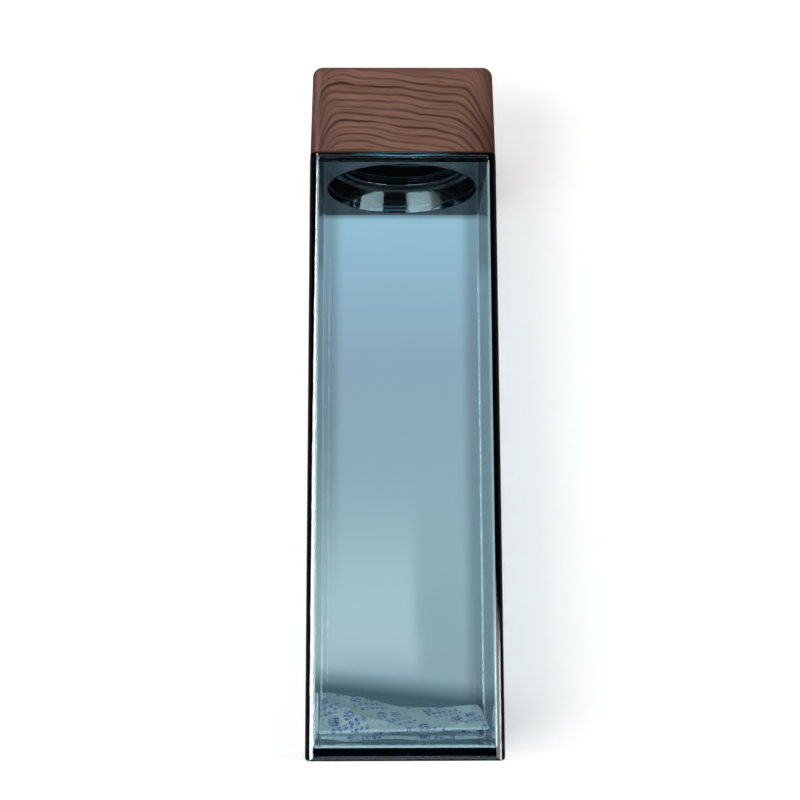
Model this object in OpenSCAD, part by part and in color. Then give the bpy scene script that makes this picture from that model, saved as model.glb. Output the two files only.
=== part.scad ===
// Square water bottle with a screw cap. The body is a moulded square tube with a closed base. A separate
// shoulder with the threaded neck is welded into its top. The cap is a square shell over a round threaded
// liner, and a flat ring under the liner's roof seals on the neck's lip. A small folded desiccant sachet
// lies inside, in the corner of the base and the back wall. Sizes are in millimetres. The base's rim stands
// on z = 0, the neck's axis is Z, and the back wall faces +Y.

/* [Body] */
// Outside width of the square body, side to side
body_w = 58; // [52:0.5:70]
// Height of the body's walls, from the foot rim to the open top
body_h = 182.7; // [120:0.1:240]
// Thickness of the side walls
wall = 2.4; // [1.6:0.1:3.2]
// Radius of the body's outside upright edges
body_edge_r = 3; // [2:0.1:3.4]
// Radius of the inside upright corners
inside_r = 0.6; // [0.6:0.1:2]
// Radius of the outside edge round the foot
foot_edge_r = 1.3; // [0.8:0.1:1.6]
// Radius of the outside edge round the open top
top_edge_r = 0.9; // [0.4:0.1:1.2]
// Thickness of the base over the foot rim
base_t = 3.6; // [2.6:0.1:6]
// Radius of the inside edge between the base and the walls
base_fillet_r = 1; // [0.5:0.1:2]
// Width of the foot rim that the body stands on
foot_rim_w = 4; // [3:0.1:8]
// Depth of the recess inside the foot rim
foot_recess = 1.3; // [0.5:0.1:1.6]
// Radius of the recess's inner edge
recess_edge_r = 0.4; // [0.2:0.1:0.5]
// Diameter of the round gate mark in the middle of the recess
gate_d = 5; // [3:0.5:8]
// Depth of the gate mark
gate_depth = 0.4; // [0.2:0.1:0.6]

/* [Shoulder and neck] */
// How far the shoulder's flange stands in from each side of the body
flange_inset = 0.05; // [0:0.05:0.5]
// Thickness of the flange on top of the walls
flange_t = 1.3; // [1:0.1:2.5]
// Radius of the flange's outside edges
flange_edge_r = 0.55; // [0.2:0.05:0.6]
// Depth of the weld between the walls' top and the flange
weld_gap = 0.05; // [0.03:0.01:0.2]
// How far the shoulder's plug reaches down inside the walls
plug_t = 1.4; // [1:0.1:4]
// Clearance all round between the plug and the walls
plug_clear = 0.05; // [0.03:0.01:0.15]
// Gap between the raised collar and the inside of the cap's shell
collar_gap = 1.18; // [0.6:0.01:3]
// Wall of the raised collar
collar_wall = 1.8; // [1.2:0.1:2.4]
// Height of the wide recess under the collar, from the plug's underside to the shelf
collar_bore_h = 7.6; // [4:0.1:9]
// How much smaller the recess's radius is at the shelf than at its rim
recess_draw = 1.7; // [0.5:0.1:2.2]
// Thickness of the annular shelf over the recess
shelf_t = 2; // [1.2:0.1:2.4]
// How far the neck stands in from the collar
neck_step = 4.8; // [4:0.1:8]
// Wall of the neck between its threads
neck_wall = 2; // [1.4:0.1:2.6]
// Height of the neck's lip over the flange
neck_h = 18.6; // [15:0.1:21]
// Radius of the lip's edges
lip_r = 0.6; // [0.2:0.1:0.6]
// Radius of the rounded corners in the shoulder's steps
step_r = 1; // [0.5:0.1:1.2]
// Radius of the half-round stop bead under the threads
bead_r = 0.8; // [0.4:0.1:0.9]
// Height of the bead's middle over the collar
bead_rise = 1.3; // [1.2:0.1:1.5]

/* [Cap] */
// How far the cap's foot stands in from each side of the body
cap_inset = 0.12; // [0:0.01:1]
// Height of the cap's shell
cap_h = 28.9; // [26:0.1:40]
// How much further in each side stands at the top of the cap
cap_draft = 0.55; // [0:0.05:1]
// Radius of the cap's upright and top edges
cap_edge_r = 3.2; // [2.4:0.1:5]
// Thickness of the shell's sides
shell_wall = 1.5; // [1.2:0.1:1.8]
// Thickness of the shell's top
shell_top_t = 1.8; // [1.2:0.1:2.5]
// Gap between the closed cap and the flange
cap_gap = 0.3; // [0.2:0.05:0.6]

/* [Liner and seal] */
// Radial room for the threads between the neck and the liner
thread_room = 1.4; // [1.2:0.1:1.6]
// Thickness of the liner's round wall
liner_wall = 1.5; // [1.2:0.1:1.8]
// Thickness of the liner's roof
liner_roof_t = 1.5; // [1:0.1:2]
// Thickness of the liner's square plate
liner_plate_t = 1.6; // [1.2:0.1:2.5]
// Gap between the liner's foot and the bead on the neck
liner_lift = 0.5; // [0.3:0.1:1.5]
// Thickness of the ribs from the round wall to the corners
rib_t = 1.6; // [1.2:0.1:2.5]
// Clearance between the liner and the shell
liner_clear = 0.1; // [0.05:0.05:0.2]
// Thickness of the seal
seal_t = 1.8; // [1.2:0.1:2]
// Width of the seal from its bore to its rim
seal_w = 3.8; // [3:0.1:6]
// Radius of the seal's edges
seal_edge_r = 0.2; // [0.1:0.05:0.4]
// Clearance round the seal's rim
seal_clear = 0.2; // [0.1:0.05:0.4]
// Clearance over and under the seal
seal_play = 0.05; // [0.03:0.01:0.1]

/* [Desiccant sachet] */
// Thickness of the filled sachet
sachet_t = 3.2; // [2:0.1:5]
// Gap between the sachet's ends and the side walls
sachet_side_gap = 0.8; // [0.4:0.1:4]
// Gap between the sachet and the base and back wall it lies against
sachet_seat_gap = 0.3; // [0.2:0.05:0.5]
// Height of the fold over the inside of the base
sachet_fold_h = 13; // [9:0.5:20]
// Distance of the fold from the back wall
sachet_fold_y = 3; // [1:0.5:8]
// Reach of the front leaf forward from the fold
sachet_reach = 31; // [20:0.5:38]
// Drop of the front leaf from the fold to its free edge
sachet_drop = 8; // [4:0.5:10]
// Reach of the lower leaf forward over the base
sachet_under = 13; // [8:0.5:30]

/* [Hidden] */
$fn = 96;
eps = 0.01;
inside_w = body_w - 2 * wall;
flange_z = body_h + weld_gap;
flange_top = flange_z + flange_t;
plug_foot = body_h - plug_t;
cap_w = body_w - 2 * cap_inset;
cap_foot = flange_top + cap_gap;
cap_ceiling = cap_foot + cap_h - shell_top_t;
shell_inside_w = cap_w - 2 * shell_wall;
collar_r = shell_inside_w / 2 - collar_gap;
collar_bore_r = collar_r - collar_wall;
shelf_z = plug_foot + collar_bore_h;
collar_top = shelf_z + shelf_t;
neck_r = collar_r - neck_step;
mouth_r = neck_r - neck_wall;
lip_z = flange_top + neck_h;
bead_z = collar_top + bead_rise;
seal_z = lip_z + seal_play;
roof_z = seal_z + seal_t + seal_play;
liner_bore_r = neck_r + thread_room;
liner_r = liner_bore_r + liner_wall;
liner_foot = bead_z + bead_r + liner_lift;
seal_r = liner_bore_r - seal_clear;

// Side view w wide and h high on y = 0, with rounded low and top corners; a radius of 0 leaves them sharp
module side_profile(w, h, e_low, e_top) {
    translate([-w / 2, e_low]) square([w, h - e_low - e_top]);
    translate([e_low - w / 2, 0]) square([w - 2 * e_low, h - e_top]);
    translate([e_top - w / 2, e_low]) square([w - 2 * e_top, h - e_low]);
    for (side = [-1, 1]) {
        if (e_low > 0) translate([side * (w / 2 - e_low), e_low]) circle(e_low);
        if (e_top > 0) translate([side * (w / 2 - e_top), h - e_top]) circle(e_top);
    }
}

// Square of width w with its corners rounded
module rounded_square(w, r) {
    square([w, w - 2 * r], center = true);
    square([w - 2 * r, w], center = true);
    for (sx = [-1, 1], sy = [-1, 1]) translate([sx * (w / 2 - r), sy * (w / 2 - r)]) circle(r);
}

// Square block on z = 0 with upright edges of radius r, and its low and top edges rounded
module soft_block(w, h, r, e_low, e_top) {
    intersection() {
        linear_extrude(h) rounded_square(w, r);
        rotate([90, 0, 0]) linear_extrude(w, center = true) side_profile(w, h, e_low, e_top);
        rotate([90, 0, 90]) linear_extrude(w, center = true) side_profile(w, h, e_low, e_top);
    }
}

// Round post on z = 0 with its top edge rounded
module post(r, h, e_top) {
    rotate_extrude() intersection() {
        side_profile(2 * r, h, 0, e_top);
        square([r, h]);
    }
}

// Ring round a radius r on z = 0 with a hollow quarter-round face: added, it fills the corner where a shaft
// stands on a floor; cut away, it rounds the edge of a hole
module cove(r, e) {
    rotate_extrude() translate([r, 0]) difference() {
        translate([-eps, -eps]) square(e + eps);
        translate([e, e]) circle(e);
    }
}

// Solid of the cap's outline: square, drawn in towards the top, with rounded upright and top edges
module cap_block(w_low, w_top, h, r) {
    hull() {
        for (sx = [-1, 1], sy = [-1, 1]) {
            translate([sx * (w_low / 2 - r), sy * (w_low / 2 - r), 0]) cylinder(r = r, h = eps, $fn = 48);
            translate([sx * (w_top / 2 - r), sy * (w_top / 2 - r), h - r]) sphere(r, $fn = 48);
        }
    }
}

module bottle_body() {
    color([0.42, 0.60, 0.70, 0.55]) difference() {
        soft_block(body_w, body_h, body_edge_r, foot_edge_r, top_edge_r);
        translate([0, 0, base_t]) soft_block(inside_w, body_h, inside_r, base_fillet_r, 0);
        translate([0, 0, -eps])
            soft_block(body_w - 2 * foot_rim_w, foot_recess + eps, inside_r, 0, recess_edge_r);
        cylinder(d = gate_d, h = foot_recess + gate_depth);
    }
}

module shoulder_neck() {
    flange_w = body_w - 2 * flange_inset;
    plug_w = inside_w - 2 * plug_clear;
    plug_h = flange_z + flange_t / 2 - plug_foot;
    bore_top_r = collar_bore_r - recess_draw;
    color([0.30, 0.46, 0.55, 0.6]) difference() {
        union() {
            translate([0, 0, flange_z]) soft_block(flange_w, flange_t, body_edge_r, flange_edge_r, flange_edge_r);
            translate([0, 0, plug_foot]) linear_extrude(plug_h) rounded_square(plug_w, inside_r - plug_clear);
            translate([0, 0, body_h]) post(collar_r, collar_top - body_h, step_r);
            translate([0, 0, body_h]) post(neck_r, lip_z - body_h, lip_r);
            translate([0, 0, flange_top]) cove(collar_r, flange_edge_r);
            rotate_extrude() translate([neck_r, bead_z]) circle(bead_r);
        }
        translate([0, 0, plug_foot]) rotate_extrude() polygon([
            [0, -eps], [collar_bore_r, -eps], [collar_bore_r, 0], [bore_top_r, collar_bore_h - step_r],
            [bore_top_r - step_r, collar_bore_h], [0, collar_bore_h]
        ]);
        translate([0, 0, plug_foot]) cove(collar_bore_r, flange_edge_r);
        translate([0, 0, shelf_z - eps]) cylinder(r = mouth_r, h = lip_z - shelf_z + 2 * eps);
        translate([0, 0, shelf_z]) cove(mouth_r, step_r);
        translate([0, 0, lip_z]) mirror([0, 0, 1]) cove(mouth_r, lip_r);
    }
}

module seal_ring() {
    color([0.20, 0.22, 0.24]) translate([0, 0, seal_z]) rotate_extrude()
        translate([seal_r - seal_w / 2, 0]) side_profile(seal_w, seal_t, seal_edge_r, seal_edge_r);
}

module cap_liner() {
    // How far the draft has drawn each side of the shell in at the height of the plate's top
    drawn_in = cap_draft * (liner_foot + liner_plate_t - cap_foot) / cap_h;
    plate_w = shell_inside_w - 2 * (drawn_in + liner_clear);
    ceiling = cap_ceiling - liner_clear;
    rib_top = ceiling - cap_edge_r;
    rib_reach = (shell_inside_w / 2 - cap_draft - cap_edge_r) * sqrt(2);
    color([0.13, 0.10, 0.09]) difference() {
        union() {
            translate([0, 0, liner_foot]) linear_extrude(liner_plate_t)
                rounded_square(plate_w, cap_edge_r - shell_wall - liner_clear);
            translate([0, 0, liner_foot]) cylinder(r = liner_r, h = ceiling - liner_foot);
            for (turn = [45:90:315])
                rotate([0, 0, turn]) translate([0, -rib_t / 2, liner_foot])
                    cube([rib_reach, rib_t, rib_top - liner_foot]);
        }
        translate([0, 0, liner_foot - eps]) cylinder(r = liner_bore_r, h = roof_z - liner_foot + eps);
        translate([0, 0, roof_z + liner_roof_t]) cylinder(r = liner_bore_r, h = cap_h);
    }
}

module cap_shell() {
    inside_h = cap_h - shell_top_t;
    color([0.52, 0.38, 0.34]) translate([0, 0, cap_foot]) difference() {
        cap_block(cap_w, cap_w - 2 * cap_draft, cap_h, cap_edge_r);
        translate([0, 0, -eps]) cap_block(
            shell_inside_w, shell_inside_w - 2 * cap_draft, inside_h + eps, cap_edge_r - shell_wall
        );
    }
}

// Rod along X with round ends, at the given place in the sachet's side view
module sachet_rod(y, z) {
    half = inside_w / 2 - sachet_side_gap - sachet_t / 2;
    for (side = [-1, 1]) translate([side * half, y, z]) sphere(d = sachet_t, $fn = 20);
}

module desiccant_sachet() {
    seat = sachet_seat_gap + sachet_t / 2;
    fold_y = inside_w / 2 - sachet_fold_y - sachet_t / 2;
    fold_z = base_t + sachet_fold_h;
    foot_y = inside_w / 2 - seat;
    foot_z = base_t + seat;
    color([0.86, 0.88, 0.86]) {
        hull() {
            sachet_rod(fold_y, fold_z);
            sachet_rod(fold_y - sachet_reach, fold_z - sachet_drop);
        }
        hull() {
            sachet_rod(fold_y, fold_z);
            sachet_rod(foot_y, foot_z);
        }
        hull() {
            sachet_rod(foot_y, foot_z);
            sachet_rod(foot_y - sachet_under, foot_z);
        }
    }
}

bottle_body();
shoulder_neck();
seal_ring();
cap_liner();
cap_shell();
desiccant_sachet();
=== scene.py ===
"""Looks of the square water bottle: transparent smoke-blue body and neck, wood-print cap, seal and sachet."""

import math

import bpy
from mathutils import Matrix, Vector


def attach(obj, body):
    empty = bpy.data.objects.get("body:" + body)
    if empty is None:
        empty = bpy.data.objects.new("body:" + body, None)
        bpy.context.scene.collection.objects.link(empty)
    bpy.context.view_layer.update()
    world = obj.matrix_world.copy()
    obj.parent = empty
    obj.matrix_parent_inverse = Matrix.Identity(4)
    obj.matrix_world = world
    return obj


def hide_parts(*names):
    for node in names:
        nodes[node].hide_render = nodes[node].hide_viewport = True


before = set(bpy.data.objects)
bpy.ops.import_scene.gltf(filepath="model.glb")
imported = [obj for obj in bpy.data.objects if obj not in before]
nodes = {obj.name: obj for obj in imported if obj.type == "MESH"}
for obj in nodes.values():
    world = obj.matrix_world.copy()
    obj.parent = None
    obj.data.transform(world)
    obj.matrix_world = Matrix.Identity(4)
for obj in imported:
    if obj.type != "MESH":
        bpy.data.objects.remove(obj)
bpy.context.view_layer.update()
for shown in bpy.context.selected_objects:
    shown.select_set(False)

MM = 0.001

# ---------------------------------------------------------------- camera

camera = bpy.data.objects.new("camera", bpy.data.cameras.new("camera"))
bpy.context.scene.collection.objects.link(camera)
camera.data.sensor_width = 36
camera.data.lens = 67.216
camera.data.clip_start = 0.01
camera.location = (-0.0062, -0.4701, 0.022)
camera.rotation_euler = (math.radians(100.744), math.radians(0.174), math.radians(-0.618))
bpy.context.scene.camera = camera
bpy.context.scene.view_settings.view_transform = "Standard"

# ---------------------------------------------------------------- helpers


def srgb(code, alpha=1.0):
    """An sRGB hex colour such as "#806050" as linear RGBA."""
    channels = [int(code[i : i + 2], 16) / 255 for i in (1, 3, 5)]
    return [c / 12.92 if c <= 0.04045 else ((c + 0.055) / 1.055) ** 2.4 for c in channels] + [alpha]


def add_node(tree, kind, inputs=(), **settings):
    """Adds a node. Each input, in order or by name, takes a value, or a link from a node or one of its outputs."""
    node = tree.nodes.new("ShaderNode" + kind)
    for name, value in settings.items():
        setattr(node, name, value)
    for name, value in inputs.items() if isinstance(inputs, dict) else enumerate(inputs):
        if isinstance(value, bpy.types.Node):
            value = next(output for output in value.outputs if output.enabled)
        if isinstance(value, bpy.types.NodeSocket):
            tree.links.new(value, node.inputs[name])
        else:
            node.inputs[name].default_value = value
    return node


def new_material(name):
    material = bpy.data.materials.new(name)
    material.use_nodes = True
    material.node_tree.nodes.clear()
    return material, material.node_tree


def paint(piece, material):
    """Puts the material in all of the piece's slots, and makes one where it has none."""
    if not piece.material_slots:
        piece.data.materials.append(material)
    for material_slot in piece.material_slots:
        material_slot.material = material


# ---------------------------------------------------------------- materials


def san_plastic(name, ripple, tint_density):
    # Polished styrene acrylonitrile tinted smoke blue: clear and bright on the faces, and near black where the
    # eye looks along a wall, because the tint lies in the depth of the plastic. Faint ripples from the mould
    # and a thin haze of handling keep its reflections from being perfectly sharp.
    material, tree = new_material(name)
    place = add_node(tree, "TexCoord").outputs["Object"]
    # Sink and flow of the moulding, about 25 mm from crest to crest
    flow = add_node(tree, "TexNoise", {"Vector": place, "Scale": 1 / (25 * MM), "Detail": 1.0})
    bump = add_node(tree, "Bump", {"Height": flow, "Strength": ripple, "Distance": 0.3 * MM})
    # Smudges about 12 mm across
    haze = add_node(tree, "TexNoise", {"Vector": place, "Scale": 1 / (12 * MM), "Detail": 4.0})
    rough = add_node(
        tree, "MapRange", {"Value": haze, "From Min": 0.45, "From Max": 0.75, "To Min": 0.012, "To Max": 0.05}
    )
    surface = add_node(
        tree,
        "BsdfPrincipled",
        {"Base Color": (1, 1, 1, 1), "Roughness": rough, "IOR": 1.57, "Transmission Weight": 1.0, "Normal": bump},
    )
    # Lamps shine through the walls, and the tint is taken out of their light, so that what is inside is lit white
    clear = add_node(tree, "BsdfTransparent", {"Color": (1.0, 0.895, 0.87, 1)})
    from_lamp = add_node(tree, "LightPath").outputs["Is Shadow Ray"]
    mixed = add_node(tree, "MixShader", (from_lamp, surface, clear))
    depth = add_node(tree, "VolumeAbsorption", {"Color": (0.115, 0.515, 0.623, 1), "Density": tint_density})
    add_node(tree, "OutputMaterial", {"Surface": mixed, "Volume": depth})
    return material


CAP_FOOT = 184.35  # mm over the bottle's foot
CAP_SIDE = 29.0  # mm from the axis to a side of the cap, near enough
ARCH_END = 25.6  # mm from the middle of a side to where an arch has dropped by ARCH_DROP
ARCH_DROP = 10.0
GRAIN_SLOPE = 0.12
GRAIN_PITCH = 2.5  # mm between the dark lines
FIRST_LINE = 0.8
WANDER = 4.5  # mm, for the whole range of the noise, of which the lines use about a third


def wood_print():
    # Moulded ABS with a transfer-printed walnut grain under satin lacquer: dark brown lines in nested arches
    # that slope down to one end, on a ground that drifts from pinkish to olive brown, with a soft sheen.
    material, tree = new_material("wood_print_abs")
    place = add_node(tree, "TexCoord").outputs["Object"]
    at = add_node(tree, "SeparateXYZ", (place,)).outputs
    # The side is told by its direction in the room, so the print is right only while the cap stands as at rest
    facing = add_node(tree, "SeparateXYZ", (add_node(tree, "NewGeometry").outputs["Normal"],)).outputs
    # Along the side, from its middle towards the right of one who faces it
    tilt_x = add_node(tree, "Math", (facing["X"],), operation="ABSOLUTE")
    tilt_y = add_node(tree, "Math", (facing["Y"],), operation="ABSOLUTE")
    front_or_back = add_node(tree, "Math", (tilt_y, tilt_x), operation="GREATER_THAN")
    sign_x = add_node(tree, "Math", (facing["X"],), operation="SIGN")
    sign_y = add_node(tree, "Math", (facing["Y"],), operation="SIGN")
    left_or_right = add_node(tree, "Math", (at["Y"], sign_x), operation="MULTIPLY")
    along = add_node(tree, "Math", (at["X"], sign_y), operation="MULTIPLY")
    along = add_node(tree, "Math", (along, -1.0), operation="MULTIPLY")
    along = add_node(tree, "Mix", {"Factor": front_or_back, "A": left_or_right, "B": along})
    # The grain of the front runs on over the top
    on_top = add_node(tree, "Math", (facing["Z"], 0.75), operation="GREATER_THAN")
    along = add_node(tree, "Mix", {"Factor": on_top, "A": along, "B": at["X"]})
    along = add_node(tree, "Math", (along, MM), operation="DIVIDE")
    # Up from the cap's foot, and on from the front edge over the top
    height = add_node(tree, "Math", (at["Z"], 1 / MM, -CAP_FOOT), operation="MULTIPLY_ADD")
    inwards = add_node(tree, "Math", (at["Y"], 1 / MM, CAP_SIDE), operation="MULTIPLY_ADD")
    height = add_node(tree, "Math", (on_top, inwards, height), operation="MULTIPLY_ADD")
    # Both ends of each arch drop steeply, the left one more sharply, and less so high up
    drop = 0.0
    for way, high, sharpness, least in ((1.0, 6.0, (4.6, 9.0), 1.0), (-1.0, 8.0, (9.5, 9.5), 0.5)):
        off = add_node(tree, "Math", (along, way / ARCH_END), operation="MULTIPLY")
        off = add_node(tree, "Math", (off, 0.0), operation="MAXIMUM")
        rising = {"Value": height, "From Min": high, "From Max": 22.0}
        steepness = add_node(
            tree,
            "MapRange",
            rising | {"To Min": sharpness[0], "To Max": sharpness[1]},
            interpolation_type="SMOOTHSTEP",
        )
        off = add_node(tree, "Math", (off, steepness), operation="POWER")
        share = add_node(
            tree, "MapRange", rising | {"To Min": 1.0, "To Max": least}, interpolation_type="SMOOTHSTEP"
        )
        drop = add_node(tree, "Math", (off, share, drop), operation="MULTIPLY_ADD")
    # The lines wander up and down over 15 mm
    wander = add_node(
        tree, "TexNoise", {"Vector": place, "Scale": 1 / (15 * MM), "Detail": 1.5, "Roughness": 0.5}
    )
    level = add_node(tree, "Math", (along, GRAIN_SLOPE, height), operation="MULTIPLY_ADD")
    level = add_node(tree, "Math", (drop, ARCH_DROP, level), operation="MULTIPLY_ADD")
    level = add_node(tree, "Math", (wander, WANDER, level), operation="MULTIPLY_ADD")
    # Each dark line has a whole number
    ring = add_node(tree, "Math", (level, WANDER / 2 + FIRST_LINE), operation="SUBTRACT")
    ring = add_node(tree, "Math", (ring, GRAIN_PITCH), operation="DIVIDE")
    steep = add_node(tree, "Math", (drop, ARCH_DROP / 4, 1.0), operation="MULTIPLY_ADD")

    def streaks(stretch, spread, low, high):
        """Cloudy bands drawn out along the grain, from 0 to 1."""
        drawn_out = add_node(tree, "Math", (along, stretch), operation="MULTIPLY")
        across = add_node(tree, "Math", (ring, spread), operation="MULTIPLY")
        cloud = add_node(tree, "CombineXYZ", (drawn_out, across, 0.0))
        cloud = add_node(tree, "TexNoise", {"Vector": cloud, "Scale": 1.0, "Detail": 3.0})
        return add_node(
            tree, "MapRange", {"Value": cloud, "From Min": low, "From Max": high}, interpolation_type="SMOOTHSTEP"
        )

    def line(shift, thin, wide):
        """Number of the nearest line, and how dark it is here. Thin and wide are millimetres from its middle."""
        moved = add_node(tree, "Math", (ring, shift), operation="ADD")
        number = add_node(tree, "Math", (moved,), operation="ROUND")
        off = add_node(tree, "Math", (moved, number), operation="SUBTRACT")
        off = add_node(tree, "Math", (off,), operation="ABSOLUTE")
        off = add_node(tree, "Math", (off, GRAIN_PITCH), operation="MULTIPLY")
        off = add_node(tree, "Math", (off, steep), operation="DIVIDE")
        edges = {"Value": off, "From Min": thin, "From Max": wide, "To Min": 1.0, "To Max": 0.0}
        return number, add_node(tree, "MapRange", edges, interpolation_type="SMOOTHSTEP")

    number, bold_line = line(0.0, 0.16, 0.6)
    _, faint_line = line(0.5, 0.05, 0.4)
    # How dark each bold line is at its left and its right end
    ends = []
    for levels in (
        (0.7, 0.75, 0.6, 1.0, 0.85, 0.55, 0.75, 0.7, 1.0, 0.6, 0.5),
        (0.4, 0.5, 0.7, 0.95, 0.65, 1.0, 0.7, 0.9, 0.75, 1.0, 0.5),
    ):
        spot = add_node(tree, "Math", (number, 1 / len(levels), 0.5 / len(levels)), operation="MULTIPLY_ADD")
        ramp = add_node(tree, "ValToRGB", (spot,))
        ramp.color_ramp.interpolation = "CONSTANT"
        ramp.color_ramp.elements[1].color = (0.4, 0.4, 0.4, 1)
        for n, dark in enumerate(levels):
            stop = ramp.color_ramp.elements[0] if n == 0 else ramp.color_ramp.elements.new(n / len(levels))
            stop.color = (dark, dark, dark, 1)
        ends.append(ramp)
    to_right = add_node(
        tree, "MapRange", {"Value": along, "From Min": -8.0, "From Max": 10.0}, interpolation_type="SMOOTHSTEP"
    )
    darkness = add_node(tree, "Mix", {"Factor": to_right, "A": ends[0], "B": ends[1]})
    broken = add_node(tree, "Math", (streaks(0.09, 2.7, 0.35, 0.55), 0.4, 0.6), operation="MULTIPLY_ADD")
    darkness = add_node(tree, "Math", (darkness, broken), operation="MULTIPLY")
    bold = add_node(tree, "Math", (bold_line, darkness), operation="MULTIPLY")
    faint = add_node(tree, "Math", (faint_line, streaks(0.12, 4.3, 0.46, 0.62)), operation="MULTIPLY")
    faint = add_node(tree, "Math", (faint, 0.7), operation="MULTIPLY")
    pores = add_node(tree, "Math", (streaks(0.06, 6.0, 0.45, 0.75), 0.35), operation="MULTIPLY")
    drift = streaks(0.03, 0.9, 0.36, 0.62)
    colour = srgb("#7A584D")
    for share, code in ((drift, "#6E4F41"), (pores, "#5F3F33"), (faint, "#4C2A1C"), (bold, "#30140A")):
        colour = add_node(tree, "Mix", {"Factor": share, "A": colour, "B": srgb(code)}, data_type="RGBA")
    surface = add_node(
        tree, "BsdfPrincipled", {"Base Color": colour, "Roughness": 0.5, "IOR": 1.5, "Specular IOR Level": 0.3}
    )
    add_node(tree, "OutputMaterial", {"Surface": surface})
    return material


def moulded(name, colours, roughness, grit_mm, depth):
    # Plain injection-moulded part: one colour with a fine spark-eroded grit that dulls its highlights
    material, tree = new_material(name)
    place = add_node(tree, "TexCoord").outputs["Object"]
    grit = add_node(tree, "TexNoise", {"Vector": place, "Scale": 1 / (grit_mm * MM), "Detail": 2.0})
    drift = add_node(tree, "TexNoise", {"Vector": place, "Scale": 1 / (9 * MM), "Detail": 3.0})
    tone = add_node(
        tree, "Mix", {"Factor": drift, "A": srgb(colours[0]), "B": srgb(colours[1])}, data_type="RGBA"
    )
    bump = add_node(tree, "Bump", {"Height": grit, "Strength": depth, "Distance": 0.05 * MM})
    surface = add_node(
        tree, "BsdfPrincipled", {"Base Color": tone, "Roughness": roughness, "IOR": 1.5, "Normal": bump}
    )
    add_node(tree, "OutputMaterial", {"Surface": surface})
    return material


GROUP_PITCH, ROW_PITCH = 15.5, 8.0  # mm between the groups of marks and between their rows


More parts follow.
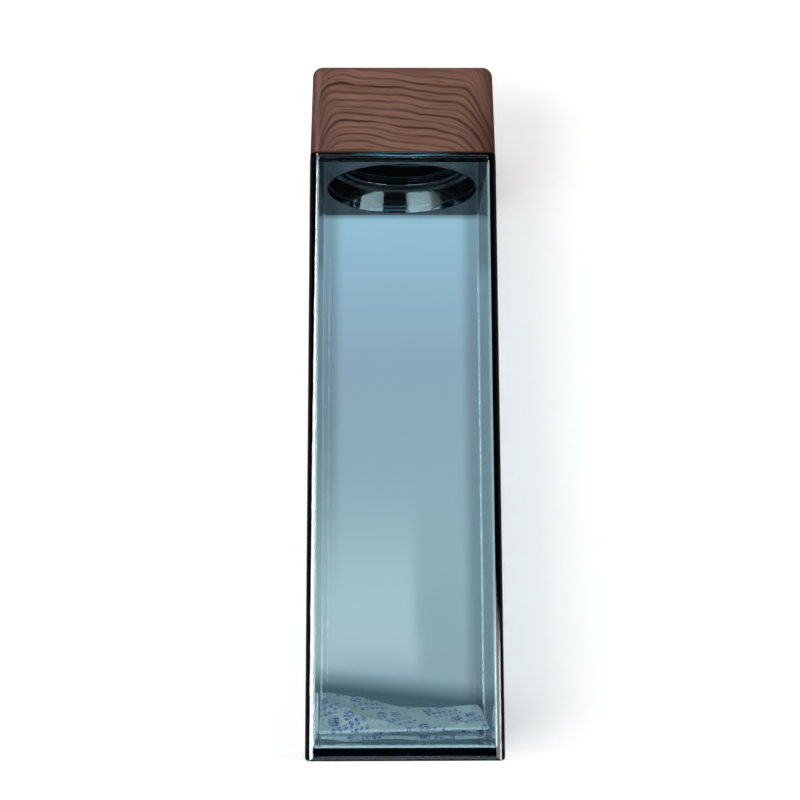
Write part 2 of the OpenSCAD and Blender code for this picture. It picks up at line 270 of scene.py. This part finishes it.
def sachet_paper():
    # Bonded-fibre paper, thin and white, with a faint web of fibres and small blue printed marks in rows
    material, tree = new_material("sachet_paper")
    place = add_node(tree, "TexCoord").outputs["Object"]
    sheet_place = add_node(tree, "UVMap", uv_map="flat")
    # The flat map is in units of 10 mm; the marks are drawn out along it, and their lines rise to the right
    turned = add_node(
        tree, "Mapping", {"Vector": sheet_place, "Rotation": (0, 0, math.radians(-17)), "Scale": (10, -5, 1)}
    )
    flat = add_node(tree, "SeparateXYZ", (turned,)).outputs
    # Groups in staggered rows
    row = add_node(tree, "Math", (flat["Y"], ROW_PITCH), operation="DIVIDE")
    band = add_node(tree, "Math", (row,), operation="FRACT")
    band = add_node(tree, "Math", (band, ROW_PITCH), operation="MULTIPLY")
    row = add_node(tree, "Math", (row,), operation="FLOOR")
    inside = add_node(tree, "Math", (row, 6.1, flat["X"]), operation="MULTIPLY_ADD")
    inside = add_node(tree, "Math", (inside, GROUP_PITCH), operation="DIVIDE")
    inside = add_node(tree, "Math", (inside,), operation="FRACT")
    inside = add_node(tree, "Math", (inside, GROUP_PITCH), operation="MULTIPLY")

    def blocks(low, pitch, pieces, width, tall, centre):
        """One row of each group: so many rounded blocks, all sizes in mm."""
        cell = add_node(tree, "Math", (inside, low), operation="SUBTRACT")
        cell = add_node(tree, "Math", (cell, pitch), operation="DIVIDE")
        started = add_node(tree, "Math", (cell, 0.0), operation="GREATER_THAN")
        going_on = add_node(tree, "Math", (cell, float(pieces)), operation="LESS_THAN")
        in_group = add_node(tree, "Math", (started, going_on), operation="MULTIPLY")
        cell = add_node(tree, "Math", (cell,), operation="FRACT")
        outwards = 0.0
        for value, middle, half in ((cell, 0.5, width / pitch / 2), (band, centre, tall / 2)):
            off = add_node(tree, "Math", (value, middle), operation="SUBTRACT")
            off = add_node(tree, "Math", (off, half), operation="DIVIDE")
            off = add_node(tree, "Math", (off,), operation="ABSOLUTE")
            off = add_node(tree, "Math", (off, 3.0), operation="POWER")
            outwards = add_node(tree, "Math", (off, outwards), operation="ADD")
        block = add_node(tree, "Math", (outwards, 1.0), operation="LESS_THAN")
        return add_node(tree, "Math", (in_group, block), operation="MULTIPLY")

    # The big blocks are cut up into strokes
    strokes = 0.0
    for value, pitch, gap in ((inside, 1.05, 0.3), (band, 1.2, 0.4)):
        cut = add_node(tree, "Math", (value, pitch), operation="DIVIDE")
        cut = add_node(tree, "Math", (cut,), operation="FRACT")
        cut = add_node(tree, "Math", (cut, gap), operation="GREATER_THAN")
        strokes = add_node(tree, "Math", (cut, strokes), operation="MAXIMUM")
    marks = add_node(tree, "Math", (blocks(1.0, 4.6, 2, 3.3, 2.9, 6.0), strokes), operation="MULTIPLY")
    for small_row in (blocks(1.5, 1.85, 6, 1.45, 1.7, 3.4), blocks(3.5, 1.6, 6, 1.25, 1.2, 1.4)):
        marks = add_node(tree, "Math", (marks, small_row), operation="MAXIMUM")
    # The ink is thin in places and broken by the fibres
    worn = add_node(tree, "TexNoise", {"Vector": place, "Scale": 1 / (0.9 * MM), "Detail": 3.0})
    worn = add_node(tree, "MapRange", {"Value": worn, "From Min": 0.38, "From Max": 0.55})
    patchy = add_node(tree, "TexNoise", {"Vector": place, "Scale": 1 / (9 * MM), "Detail": 1.0})
    patchy = add_node(tree, "Math", (patchy, 1.3, 0.1), operation="MULTIPLY_ADD")
    ink = add_node(tree, "Math", (worn, patchy), operation="MULTIPLY")
    ink = add_node(tree, "Math", (ink, marks), operation="MULTIPLY")
    fibre = add_node(
        tree, "TexVoronoi", {"Vector": place, "Scale": 1 / (1.4 * MM)}, feature="DISTANCE_TO_EDGE"
    )
    web = add_node(tree, "MapRange", {"Value": fibre, "From Min": 0.0, "From Max": 0.25})
    colour = srgb("#E6EEEE")
    for share, code in ((web, "#D4DEDF"), (ink, "#2C55B8")):
        colour = add_node(tree, "Mix", {"Factor": share, "A": colour, "B": srgb(code)}, data_type="RGBA")
    crease = add_node(tree, "TexNoise", {"Vector": place, "Scale": 1 / (2.2 * MM), "Detail": 5.0})
    bump = add_node(tree, "Bump", {"Height": crease, "Strength": 0.5, "Distance": 0.4 * MM})
    surface = add_node(tree, "BsdfPrincipled", {"Base Color": colour, "Roughness": 0.75, "Normal": bump})
    add_node(tree, "OutputMaterial", {"Surface": surface})
    return material


body_plastic = san_plastic("smoke_san", 0.12, 195.0)
# Twice the tint for the shoulder and neck, chosen for how dark they have to show: the plastic's own tint,
# doubled as painted shade for the darkness round the neck under the cap
neck_plastic = san_plastic("smoke_san_neck", 0.06, 390.0)
liner_plastic = moulded("liner_pp", ("#1B1716", "#221C1A"), 0.55, 0.35, 0.25)
silicone = moulded("seal_silicone", ("#3A4146", "#434B50"), 0.6, 0.25, 0.15)
paper = sachet_paper()
paint(nodes["bottle_body"], body_plastic)
paint(nodes["shoulder_neck"], neck_plastic)
paint(nodes["cap_shell"], wood_print())
paint(nodes["cap_liner"], liner_plastic)
paint(nodes["seal_ring"], silicone)

# ---------------------------------------------------------------- threads

LEAD = 6.0  # mm risen in a turn; two starts stand 3 mm apart
NECK_R, NECK_CREST_R = 21.4, 22.5
BORE_R, BORE_CREST_R = 22.8, 21.7
FIRST_Z = 195.2
FADE = 0.07  # turns over which a ridge rises from its root at either end


def thread(name, root_r, crest_r, low_z, turns, start_deg, material, body):
    """Ridge of rounded section that winds round the axis, faded out at both ends."""
    sign = 1 if crest_r > root_r else -1
    sunk = root_r - sign * 0.12
    section = [(sunk, -0.85), (root_r + sign * 0.15, -0.8), (crest_r - sign * 0.12, -0.4), (crest_r, -0.25)]
    section += [(r, -z) for r, z in reversed(section)]
    bpy.ops.mesh.primitive_circle_add(vertices=len(section), radius=MM)
    ridge = bpy.context.active_object
    ridge.name = ridge.data.name = name
    for vertex, (r, z) in zip(ridge.data.vertices, section):
        vertex.co = (r * MM, 0, (low_z + z) * MM)
    screw = ridge.modifiers.new("screw", "SCREW")
    screw.axis = "Z"
    screw.angle = 2 * math.pi * turns
    screw.screw_offset = LEAD * turns * MM
    screw.steps = screw.render_steps = round(120 * turns)
    screw.use_smooth_shade = True
    bpy.ops.object.modifier_apply(modifier=screw.name)
    for vertex in ridge.data.vertices:
        # How far round its turn the point lies, from its height over the helix
        x, y, z = vertex.co
        r = math.hypot(x, y)
        angle = math.atan2(y, x) % (2 * math.pi)
        loops = round((z - low_z * MM) / (LEAD * MM) - angle / (2 * math.pi))
        gone = angle / (2 * math.pi) + loops
        rise = min(1.0, max(0.0, gone) / FADE, max(0.0, turns - gone) / FADE)
        rise = rise * rise * (3 - 2 * rise)
        new_r = sunk * MM + (r - sunk * MM) * max(rise, 0.02)
        vertex.co.x, vertex.co.y = x * new_r / r, y * new_r / r
    bpy.ops.object.mode_set(mode="EDIT")
    bpy.ops.mesh.select_all(action="SELECT")
    bpy.ops.mesh.fill_holes(sides=0)
    bpy.ops.mesh.normals_make_consistent(inside=False)
    bpy.ops.transform.rotate(
        value=-math.radians(start_deg), orient_axis="Z", center_override=(0, 0, 0), orient_type="GLOBAL"
    )
    bpy.ops.object.mode_set(mode="OBJECT")
    bpy.ops.object.shade_smooth_by_angle(angle=math.radians(40))
    paint(ridge, material)
    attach(ridge, body)


for n, start in enumerate((0, 180)):
    thread(
        f"neck_thread_{n + 1}", NECK_R, NECK_CREST_R, FIRST_Z, 0.95, start, neck_plastic,
        "bottle",
    )
    # The cap's ridges lie half a pitch over the neck's
    thread(
        f"liner_thread_{n + 1}", BORE_R, BORE_CREST_R, FIRST_Z + LEAD / 4, 1.1, start, liner_plastic,
        "cap",
    )

# ---------------------------------------------------------------- sachet

INSIDE = 26.6  # mm from the axis to the walls' inner faces
BASE = 3.6  # mm, the base's thickness
CLEAR = 0.3  # mm kept between the sachet and the plastic
FLAT_W, FLAT_L = 51.0, 57.0
FOLD_T = 26.1  # from its lower edge to the upper fold
FOLD_BEND = 2.8  # mm of paper on either side of a fold that is taken up by it
SEALED_MARGIN = 2.0
MOST_SWELL = 1.3 * MM
CLOTH_STEPS = 20


def sachet_line(t, side):
    """Middle of the folded sachet in its side view, at length t from its lower edge, at side -1 (left) to 1."""
    ease = min(1.0, max(0.0, (side + 0.58) / 0.7))
    fold_z = 18.9 - 3.0 * ease * ease * (3 - 2 * ease) - 0.5 * side
    corners = [(11.4 + 0.6 * side, 5.4), (25.2, 5.2), (21.9, fold_z), (-9.0 + 1.5 * side, 8.0 + 0.6 * side)]
    runs = [math.dist(a, b) for a, b in zip(corners, corners[1:])]
    t *= sum(runs) / FLAT_L
    marks = [0.0, runs[0], runs[0] + runs[1], sum(runs)]
    for n in (1, 2):
        if abs(t - marks[n]) < FOLD_BEND:
            # Rounded fold: a quadratic curve from one run to the next
            s = (t - marks[n] + FOLD_BEND) / (2 * FOLD_BEND)
            before, fold, after = corners[n - 1], corners[n], corners[n + 1]
            a = tuple(f + (p - f) * FOLD_BEND / runs[n - 1] for p, f in zip(before, fold))
            b = tuple(f + (p - f) * FOLD_BEND / runs[n] for p, f in zip(after, fold))
            return tuple((1 - s) ** 2 * p + 2 * s * (1 - s) * q + s * s * r for p, q, r in zip(a, fold, b))
    n = 0 if t < marks[1] else 1 if t < marks[2] else 2
    s = (t - marks[n]) / runs[n]
    # The long upper leaf arches a little over what is in it
    lift = 0.8 * math.sin(math.pi * s) if n == 2 else 0.0
    return tuple(p + (q - p) * s + add for p, q, add in zip(corners[n], corners[n + 1], (0.0, lift)))


def folded_sachet():
    """Filled paper sachet: a flat grid given two faces, folded, blown up a little, and left puckered."""
    bpy.ops.mesh.primitive_grid_add(x_subdivisions=66, y_subdivisions=74, size=1)
    piece = bpy.context.active_object
    piece.name = piece.data.name = "folded_sachet"
    flat_map = piece.data.uv_layers[0]
    flat_map.name = "flat"
    for corner in flat_map.data:
        corner.uv = (corner.uv[0] * FLAT_W / 10, corner.uv[1] * FLAT_L / 10)
    for vertex in piece.data.vertices:
        side, t = vertex.co.x * 2, (vertex.co.y + 0.5) * FLAT_L
        y, z = sachet_line(t, side)
        # It lies askew: the fold ends short of the right wall, and the leaves spread from there
        off = (t - FOLD_T) / (FLAT_L - FOLD_T) if t > FOLD_T else 0.7 * (FOLD_T - t) / FOLD_T
        x = side * (25.0 + 0.75 * off) - 1.0 + 1.05 * off
        vertex.co = (x * MM, y * MM, z * MM)
    faces = piece.modifiers.new("faces", "SOLIDIFY")
    faces.thickness, faces.offset = 1.0 * MM, 0
    bpy.ops.object.modifier_apply(modifier=faces.name)
    bpy.ops.object.mode_set(mode="EDIT")
    bpy.ops.mesh.select_all(action="SELECT")
    bpy.ops.mesh.normals_make_consistent(inside=False)
    bpy.ops.object.mode_set(mode="OBJECT")
    # The sealed margin is held
    sealed = piece.vertex_groups.new(name="sealed")
    rest = [v.co.copy() for v in piece.data.vertices]
    margin = set()
    for loop, corner in zip(piece.data.loops, piece.data.uv_layers["flat"].data):
        u, v = corner.uv[0] * 10, corner.uv[1] * 10
        if min(u, FLAT_W - u, v, FLAT_L - v) < SEALED_MARGIN:
            margin.add(loop.vertex_index)
    sealed.add(sorted(margin), 1.0, "REPLACE")
    cloth = piece.modifiers.new("cloth", "CLOTH")
    settings = cloth.settings
    settings.quality = 6
    settings.mass = 0.1
    settings.tension_stiffness = settings.compression_stiffness = 8
    settings.bending_stiffness = 0.02
    settings.use_pressure = True
    settings.uniform_pressure_force = 3.0
    settings.shrink_min = -0.035
    settings.effector_weights.gravity = 0
    settings.vertex_group_mass = "sealed"
    cloth.collision_settings.use_self_collision = False
    scene = bpy.context.scene
    for step in range(1, CLOTH_STEPS + 1):
        scene.frame_set(step)
    grown = piece.evaluated_get(bpy.context.evaluated_depsgraph_get())
    moved = [v.co.copy() for v in grown.data.vertices]
    piece.modifiers.remove(cloth)
    for vertex, start, end in zip(piece.data.vertices, rest, moved):
        swell = end - start
        if swell.length > MOST_SWELL:
            swell *= MOST_SWELL / swell.length
        vertex.co = start + swell
    scene.frame_set(1)
    limit = (INSIDE - CLEAR) * MM
    for vertex in piece.data.vertices:
        vertex.co.x = max(-limit, min(limit, vertex.co.x))
        vertex.co.y = min(limit, vertex.co.y)
        vertex.co.z = max((BASE + CLEAR) * MM, vertex.co.z)
    smooth = piece.modifiers.new("smooth", "SUBSURF")
    smooth.levels = smooth.render_levels = 1
    bpy.ops.object.modifier_apply(modifier=smooth.name)
    bpy.ops.object.shade_smooth()
    paint(piece, paper)
    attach(piece, "bottle")
    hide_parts("desiccant_sachet")


folded_sachet()

# ---------------------------------------------------------------- floor, backdrop, light

FULL_GLOW = (250 * MM, 600 * MM)  # from the foot, where the boards' own glow starts to rise and is full


def white_board(name, glow, behind_bottle):
    # Matt white board. To the eye and through clear plastic it shows white, and it keeps the shadows on it.
    # How bright it shows by the path of the light is chosen for the look, and isn't how light behaves.
    # Gloss that faces the eye shows the room in front instead. The board behind the bottle is open from its
    # back, and where the bottle lies on it, painted shade makes it dimmer, standing in for the light that has
    # passed the tinted walls once on its way there.
    material, tree = new_material(name)
    ray = add_node(tree, "LightPath").outputs
    place = add_node(tree, "TexCoord").outputs["Object"]
    mirrored_once = add_node(tree, "Math", (ray["Glossy Depth"], 0.5), operation="GREATER_THAN")
    matt = add_node(tree, "BsdfDiffuse", {"Color": (0.86, 0.85, 0.84, 1)})
    # The board's own glow is full away from the bottle, so that its far edge can't be seen
    away = add_node(tree, "VectorMath", (place,), operation="LENGTH")
    white = add_node(
        tree,
        "MapRange",
        {"Value": away, "From Min": FULL_GLOW[0], "From Max": FULL_GLOW[1], "To Min": glow, "To Max": 1.0},
    )
    white = add_node(tree, "Emission", {"Color": (1, 1, 1, 1), "Strength": white})
    lit = add_node(tree, "AddShader", (matt, white))
    clear = add_node(tree, "BsdfTransparent")
    # Seen in the first gloss, before any plastic is passed
    first = add_node(tree, "Math", (ray["Transmission Depth"], 0.5), operation="LESS_THAN")
    first = add_node(tree, "Math", (ray["Is Glossy Ray"], first), operation="MULTIPLY")
    brightness = add_node(tree, "Math", (first, -0.9, 1.0), operation="MULTIPLY_ADD")
    through = add_node(tree, "Math", (ray["Is Glossy Ray"], ray["Is Transmission Ray"]), operation="MAXIMUM")
    plain = add_node(tree, "MixShader", (ray["Is Camera Ray"], matt, lit))
    tone = (1, 1, 1, 1)
    if behind_bottle:
        at = add_node(tree, "SeparateXYZ", (place,)).outputs
        aside = add_node(tree, "Math", (at["X"],), operation="ABSOLUTE")
        outside = add_node(
            tree,
            "MapRange",
            {"Value": aside, "From Min": 27 * MM, "From Max": 29.5 * MM},
            interpolation_type="SMOOTHSTEP",
        )
        # Painted shade, dimmer yet under the rounded edges of the bottle's back, for the light that has to come
        # through the corner: all the way up on the right, and from half-way up on the left
        edge = add_node(
            tree,
            "MapRange",
            {"Value": aside, "From Min": 19.5 * MM, "From Max": 24.5 * MM, "To Max": 0.36},
            interpolation_type="SMOOTHSTEP",
        )
        raised = add_node(tree, "MapRange", {"Value": at["Z"], "From Min": 40 * MM, "From Max": 110 * MM})
        right_half = add_node(tree, "Math", (at["X"], 0.0), operation="GREATER_THAN")
        raised = add_node(tree, "Math", (raised, right_half), operation="MAXIMUM")
        edge = add_node(tree, "Math", (edge, raised), operation="MULTIPLY")
        # Painted shade: light that the plastic has mirrored is made dimmer near the neck, where the flange is in
        # its way
        painted_neck_shade = add_node(
            tree, "MapRange", {"Value": at["Z"], "From Min": 158 * MM, "From Max": 166 * MM, "To Max": 0.4}
        )
        painted_neck_shade = add_node(tree, "Math", (painted_neck_shade, mirrored_once), operation="MULTIPLY")
        # Light mirrored more than once in the plastic is made dimmer as well: painted shade
        mirrored_often = add_node(tree, "Math", (ray["Glossy Depth"], 1.5), operation="GREATER_THAN")
        # Painted shade too: light that has come through more than the front and the back wall, as it does round
        # the neck, is made dimmer
        deep = add_node(tree, "Math", (ray["Transmission Depth"], 4.5), operation="GREATER_THAN")
        left_over = 1.0
        for loss, share in ((painted_neck_shade, 1.0), (mirrored_often, 0.7), (edge, 1.0), (deep, 0.85)):
            kept = add_node(tree, "Math", (loss, -share, 1.0), operation="MULTIPLY_ADD")
            left_over = add_node(tree, "Math", (kept, left_over), operation="MULTIPLY")
        # Painted shade of the bottle up the board, with a painted shadow of the slanting sachet near its foot
        lean = add_node(
            tree,
            "MapRange",
            {"Value": at["Z"], "From Min": 30 * MM, "From Max": 60 * MM, "To Min": 0.11, "To Max": 0.0},
        )
        slant = add_node(tree, "Math", (at["X"], lean, at["Z"]), operation="MULTIPLY_ADD")
        slant = add_node(tree, "Math", (slant, 200 * MM), operation="DIVIDE")
        ramp = add_node(tree, "ValToRGB", (slant,))
        # Painted shade and shadows: the sachet's shadow, the board as through the tinted walls, bluer towards the
        # neck, the shoulder's shadow
        painted_shade_of_bottle = (
            (18, (0.15, 0.21, 0.24)),
            (25, (0.69, 0.74, 0.77)),
            (60, (0.74, 0.82, 0.84)),
            (130, (0.72, 0.77, 0.86)),
            (180, (0.83, 1.0, 1.15)),
            (182, (0.3, 0.37, 0.42)),
        )
        for n, (height, colour) in enumerate(painted_shade_of_bottle):
            stop = ramp.color_ramp.elements[n] if n < 2 else ramp.color_ramp.elements.new(1.0)
            stop.position, stop.color = height / 200, (*colour, 1)
        dimmed = add_node(tree, "Mix", {"Factor": left_over, "A": (0, 0, 0, 1), "B": ramp}, data_type="RGBA")
        tone = add_node(tree, "Mix", {"Factor": outside, "A": dimmed, "B": tone}, data_type="RGBA")
        behind = add_node(tree, "NewGeometry").outputs["Backfacing"]
        open_to = add_node(tree, "Math", (ray["Is Shadow Ray"], ray["Is Diffuse Ray"]), operation="MAXIMUM")
        open_to = add_node(tree, "Math", (behind, open_to), operation="MAXIMUM")
    else:
        # Below the level too, gloss shows the room and not the floor. Light from below passes it; the lamps above
        # still throw their shadows on it
        open_to = add_node(tree, "Math", (mirrored_once, ray["Is Shadow Ray"]), operation="MAXIMUM")
    full = add_node(tree, "Emission", {"Color": tone, "Strength": brightness})
    shown = add_node(tree, "MixShader", (through, plain, full))
    shown = add_node(tree, "MixShader", (open_to, shown, clear))
    add_node(tree, "OutputMaterial", {"Surface": shown})
    return material


bpy.ops.mesh.primitive_plane_add(size=6, location=(0, 0, 0))
floor = bpy.context.active_object
floor.name = "floor"
paint(floor, white_board("floor_board", 0.62, False))
# Board that the bottle's back lies against
bpy.ops.mesh.primitive_plane_add(size=4, location=(0, 0.0295, 2), rotation=(math.radians(90), 0, 0))
board = bpy.context.active_object
board.name = "back_board"
bpy.ops.object.transform_apply(location=True, rotation=True, scale=True)
paint(board, white_board("back_board", 0.3, True))

LAMP_TARGET = Vector((0, 0, 0.1))
LAMP_DISTANCE = 1.3


def lamp(name, turn_deg, rise_deg, size, power):
    """Soft lamp round the front: turned from it, left negative, and raised over the level.

    Gloss and clear plastic don't show it, since the sky has brighter windows for them in its place.
    """
    data = bpy.data.lights.new(name, "AREA")
    data.shape = "RECTANGLE"
    data.size, data.size_y = size
    data.energy = power
    light = bpy.data.objects.new(name, data)
    bpy.context.scene.collection.objects.link(light)
    turn, rise = math.radians(turn_deg), math.radians(rise_deg)
    way = Vector((math.cos(rise) * math.sin(turn), -math.cos(rise) * math.cos(turn), math.sin(rise)))
    light.location = LAMP_TARGET + way * LAMP_DISTANCE
    light.rotation_euler = (-way).to_track_quat("-Z", "Y").to_euler()
    light.visible_camera = light.visible_glossy = light.visible_transmission = False


# The light from the left comes up through the floor, which only the eye takes for solid
lamp("window_left", -30, -11, (0.6, 0.5), 7.5)
lamp("window_right", 50, 9, (0.9, 0.5), 1.0)
lamp("ceiling", -5, 50, (1.6, 1.6), 7.5)

world = bpy.data.worlds.new("studio")
bpy.context.scene.world = world
world.use_nodes = True
sky = world.node_tree
sky.nodes.clear()
toward = add_node(sky, "SeparateXYZ", (add_node(sky, "TexCoord").outputs["Generated"],)).outputs
forward = add_node(sky, "Math", (toward["Y"], -1.0), operation="MULTIPLY")
turned = add_node(sky, "Math", (toward["X"], forward), operation="ARCTAN2")
raised = add_node(sky, "Math", (toward["Z"],), operation="ARCSINE")
raised_squared = add_node(sky, "Math", (raised, raised), operation="MULTIPLY")
path = add_node(sky, "LightPath").outputs


def pane(sides, rises, strength, bow=0.0, side_soft=1.5, low_soft=1.5, high_soft=1.5):
    """A bright window in the given directions, in degrees: turned from the front, left negative, and risen.

    Its left side is bowed, and its edges are soft.
    """
    bowed = add_node(sky, "Math", (raised_squared, -bow, turned), operation="MULTIPLY_ADD")
    for angle, limit, soft, before in (
        (bowed, sides[0], side_soft, 0.0),
        (turned, sides[1], side_soft, 1.0),
        (raised, rises[0], low_soft, 0.0),
        (raised, rises[1], high_soft, 1.0),
    ):
        edge = {"Value": angle, "From Min": math.radians(limit - soft), "From Max": math.radians(limit + soft)}
        inside = add_node(
            sky, "MapRange", edge | {"To Min": before, "To Max": 1.0 - before}, interpolation_type="SMOOTHSTEP"
        )
        strength = add_node(sky, "Math", (inside, strength), operation="MULTIPLY")
    return strength


# The sky's brightness by the path of the light is chosen for the look too. In reflections: white behind the
# object up to 40 degrees, dark in front and above but for the windows
studio = add_node(sky, "MapRange", {"Value": toward["Y"], "From Min": -0.05, "From Max": 0.05})
up_to = {"Value": raised, "From Min": math.radians(37), "From Max": math.radians(43), "To Min": 1.0, "To Max": 0.0}
up_to = add_node(sky, "MapRange", up_to, interpolation_type="SMOOTHSTEP")
studio = add_node(sky, "Math", (studio, up_to), operation="MULTIPLY")
# Polished edges that face the eye catch little of that, and of what lies below the level
facing_eye = add_node(sky, "Math", (path["Transmission Depth"], 0.5), operation="LESS_THAN")
facing_eye = add_node(sky, "Math", (path["Is Glossy Ray"], facing_eye), operation="MULTIPLY")
facing_eye = add_node(sky, "Math", (facing_eye, -0.9, 1.0), operation="MULTIPLY_ADD")
studio = add_node(sky, "Math", (studio, facing_eye, 0.01), operation="MULTIPLY_ADD")
glow = 0.0
for sides, strength, soft in (((-48, -11), 16.0, 6.0), ((-64, -47), 3.0, 6.0), ((30, 68), 11.0, 1.5)):
    low_pane = pane(sides, (-25, -4), strength, side_soft=soft)
    glow = add_node(sky, "Math", (low_pane, facing_eye, glow), operation="MULTIPLY_ADD")
for bright in (
    pane((-68, -27.5), (-4, 26), 20.0, bow=4.9),
    # The window on the right has a wide bar
    pane((20, 48), (-4, 3), 3.5),
    pane((48, 64), (-4, 2), 5.0),
    pane((64, 81), (-4, 1.5), 14.0),
    # A pale wall between them, and the table in front of the foot
    pane((-14, 1.25), (0.65, 5.3), 1.1, side_soft=0.3, low_soft=0.8, high_soft=3),
    pane((-90, 90), (-95, -22), 1.2),
):
    glow = add_node(sky, "Math", (glow, bright), operation="ADD")
# Light that is thrown about inside the plastic has lost most of a window's brightness
thrown = add_node(sky, "Math", (path["Glossy Depth"], 1.5), operation="GREATER_THAN")
thrown = add_node(sky, "Math", (thrown, -0.97, 1.0), operation="MULTIPLY_ADD")
studio = add_node(sky, "Math", (glow, thrown, studio), operation="MULTIPLY_ADD")
# Straight through the plastic it is white all round, and dimmer through more than two walls
straight = add_node(sky, "Math", (path["Glossy Depth"], 0.5), operation="LESS_THAN")
straight = add_node(sky, "Math", (path["Is Transmission Ray"], straight), operation="MULTIPLY")
deep = add_node(sky, "Math", (path["Transmission Depth"], 4.5), operation="GREATER_THAN")
deep = add_node(sky, "Math", (deep, -0.7, 1.0), operation="MULTIPLY_ADD")
straight = add_node(sky, "Math", (straight, deep), operation="MULTIPLY")
shown = add_node(sky, "Math", (studio, straight), operation="MAXIMUM")
in_plastic = add_node(sky, "Math", (path["Is Glossy Ray"], path["Is Transmission Ray"]), operation="MAXIMUM")
light_sky = add_node(sky, "Background", {"Color": (1, 1, 1, 1), "Strength": 0.35})
shown_sky = add_node(sky, "Background", {"Color": (1, 1, 1, 1), "Strength": shown})
eye_sky = add_node(sky, "Background", {"Color": (1, 1, 1, 1), "Strength": 1.0})
unseen_sky = add_node(sky, "MixShader", (in_plastic, light_sky, shown_sky))
whole_sky = add_node(sky, "MixShader", (path["Is Camera Ray"], unseen_sky, eye_sky))
add_node(sky, "OutputWorld", {"Surface": whole_sky})
